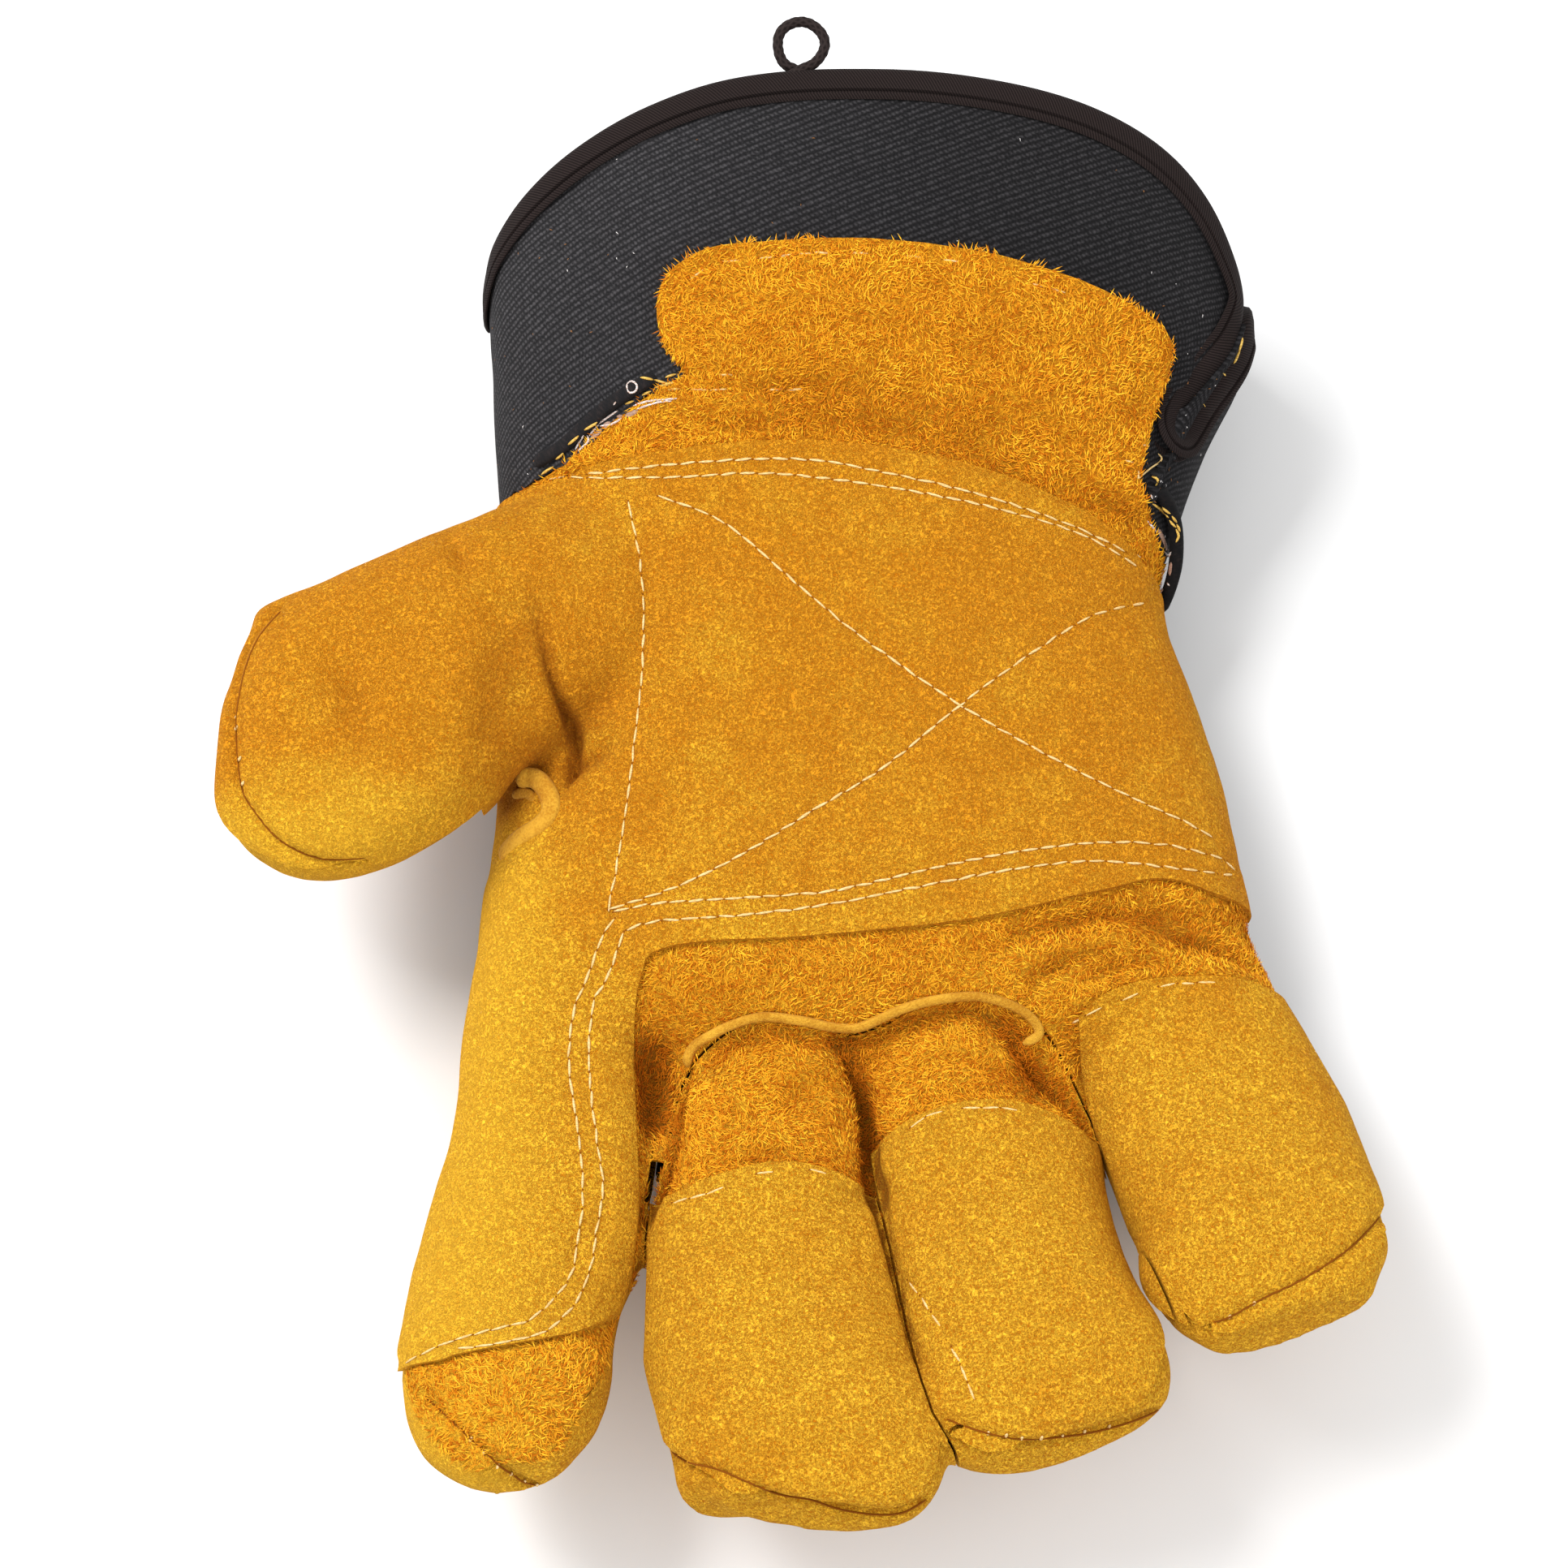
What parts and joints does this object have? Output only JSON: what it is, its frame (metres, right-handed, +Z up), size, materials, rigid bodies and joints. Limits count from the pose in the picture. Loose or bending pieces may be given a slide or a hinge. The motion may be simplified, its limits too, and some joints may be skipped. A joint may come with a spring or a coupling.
{
  "type": "leather palm work glove",
  "caption": "Right-hand work glove lying palm up: golden split-leather palm, thumb, index and fingertips, black denim back and flared safety cuff with taped edge.",
  "frame": {"origin": "on the flat underside of the hand's back, below the middle of the palm", "axes": "+Z up out of the palm, +Y towards the cuff, -Y towards the fingertips, -X towards the thumb"},
  "size_m": [0.2013, 0.2738, 0.0672],
  "materials": {
    "rough_suede": "napped split leather, rough side out",
    "suede": "smoother brushed suede",
    "denim": "black diagonal twill",
    "tape": "ribbed folded tape",
    "cord": "braided cord",
    "welt_strip": "plain leather strip"
  },
  "bodies": {
    "root": {"palm_leather": "rough_suede", "finger_fronts": "rough_suede", "palm_patch": "suede", "middle_tip_patch": "suede", "ring_tip_patch": "suede", "little_tip_patch": "suede", "thumb_back": "suede", "index_back": "suede", "middle_back": "suede", "ring_back": "suede", "little_back": "suede", "back_panel": "denim", "cuff": "denim", "seam_roll_left": "denim", "seam_roll_right": "denim", "cuff_binding": "tape", "hanging_loop": "cord", "finger_welt": "welt_strip", "thumb_welt": "welt_strip"}
  },
  "joints": []
}
